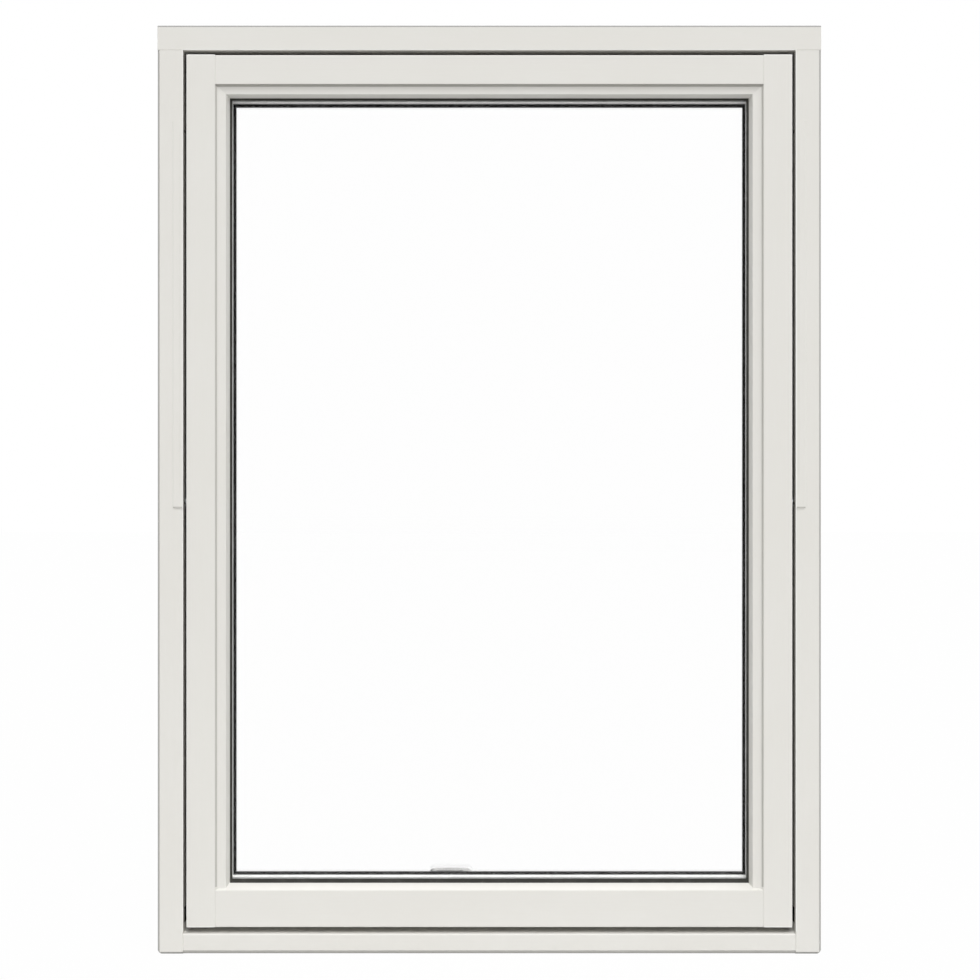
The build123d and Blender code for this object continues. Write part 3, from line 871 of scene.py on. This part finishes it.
collar = {"inner": 0.0086, "outer": 0.0112, "height": 0.0018, "sunk": 0.0002, "arris": 0.0004}
clearSelection()
spot = (0, roseTop - collar["sunk"], middle("handle_rose", "z"))
bpy.ops.mesh.primitive_circle_add(vertices=48, radius=collar["outer"], fill_type="NGON",
                                  rotation=(quarterTurn, 0, 0), location=spot)
collarRing = bpy.context.object
settle(collarRing)
editMesh()
bpy.ops.mesh.select_all(action="SELECT")
bpy.ops.mesh.inset(thickness=collar["outer"] - collar["inner"])
bpy.ops.mesh.delete(type="FACE")
bpy.ops.mesh.select_all(action="SELECT")
extrudeBy(0, collar["height"], 0)
pickEdges(lambda a, b: min(a.y, b.y) > roseTop + collar["height"] / 2)
bpy.ops.mesh.bevel(offset=collar["arris"], segments=2)
finishPiece(collarRing, "roseCollar", "sash", satinChrome)
print("collar made")


# Floor, light and camera

floor = {
    "size": 60,
    "drop": 0.0004,
    "grey": (0.62, 0.62, 0.6138, 1),
    "pale": (0.6448, 0.6448, 0.6386, 1),
    "white": 0.98,
}


def makeFloor(values):
    # Pale grey to the light that it throws back, but nearly white to the camera
    clearSelection()
    bpy.ops.mesh.primitive_plane_add(size=values["size"], location=(0, 0, -values["drop"]))
    plane = bpy.context.object
    plane.name = "floor"
    settle(plane)
    finish = Finish("paleFloor", {"Roughness": 0.9, "Specular IOR Level": 0.1})
    finish.drive("Base Color", finish.mix(finish.noise(1.5), values["grey"], values["pale"]))
    white = finish.add("ShaderNodeEmission", None, {"Color": (1, 1, 1, 1), "Strength": 1.0})
    seen = finish.anyOf("Is Camera Ray", "Is Transmission Ray") * values["white"]
    finish.finishWith(finish.add("ShaderNodeMixShader", None, {0: seen, 1: finish.surface, 2: white}))
    plane.data.materials.append(finish.material)


light = {
    "ambient": 0.5,
    "studioFront": 0.3,
    "studioTurn": (-0.75, 0.1),
    "key": 2.20,
    "spot": (0, -3, 4),
    "elevation": 50,
    "fromRight": 10,
    "softness": 0.7,
}


def makeWorld(values):
    # White behind the window, a dimmer studio in front of it for reflections, even light all round
    world = bpy.data.worlds.new("studio")
    bpy.context.scene.world = world
    world.use_nodes = True
    sky = NodeSheet(world.node_tree)
    facing = sky.axis("Y", sky.add("ShaderNodeTexCoord", output="Generated"))
    dim = values["studioFront"]
    mirrored = facing.rise(*values["studioTurn"]) * (1 - dim) + dim
    gloss = sky.anyOf("Is Glossy Ray")
    seen = sky.anyOf("Is Camera Ray", "Is Transmission Ray")
    strength = gloss * mirrored + (1 - gloss) * (seen + (1 - seen) * values["ambient"])
    white = sky.add("ShaderNodeBackground", None, {"Color": (1, 1, 1, 1), "Strength": strength})
    sky.tree.links.new(white.socket, sky.tree.nodes["World Output"].inputs["Surface"])


def makeKeyLight(values):
    clearSelection()
    turn = (quarterTurn - math.radians(values["elevation"]), 0, math.radians(values["fromRight"]))
    bpy.ops.object.light_add(type="SUN", location=values["spot"], rotation=turn)
    key = bpy.context.object
    key.name = "keyLight"
    key.data.energy = values["key"]
    key.data.angle = values["softness"]


view = {"x": 0.0010, "distance": 3.0, "height": 0.69355, "lens": 73.74, "sensor": 36, "reach": 100}


def makeCamera(values):
    clearSelection()
    spot = (values["x"], front - values["distance"], values["height"])
    bpy.ops.object.camera_add(location=spot, rotation=(quarterTurn, 0, 0))
    camera = bpy.context.object
    camera.name = "camera"
    camera.data.lens = values["lens"]
    camera.data.sensor_width = values["sensor"]
    camera.data.clip_end = values["reach"]
    bpy.context.scene.camera = camera


makeFloor(floor)
makeWorld(light)
makeKeyLight(light)
makeCamera(view)
bpy.context.scene.view_settings.view_transform = "Standard"
print("floor, light and camera made")
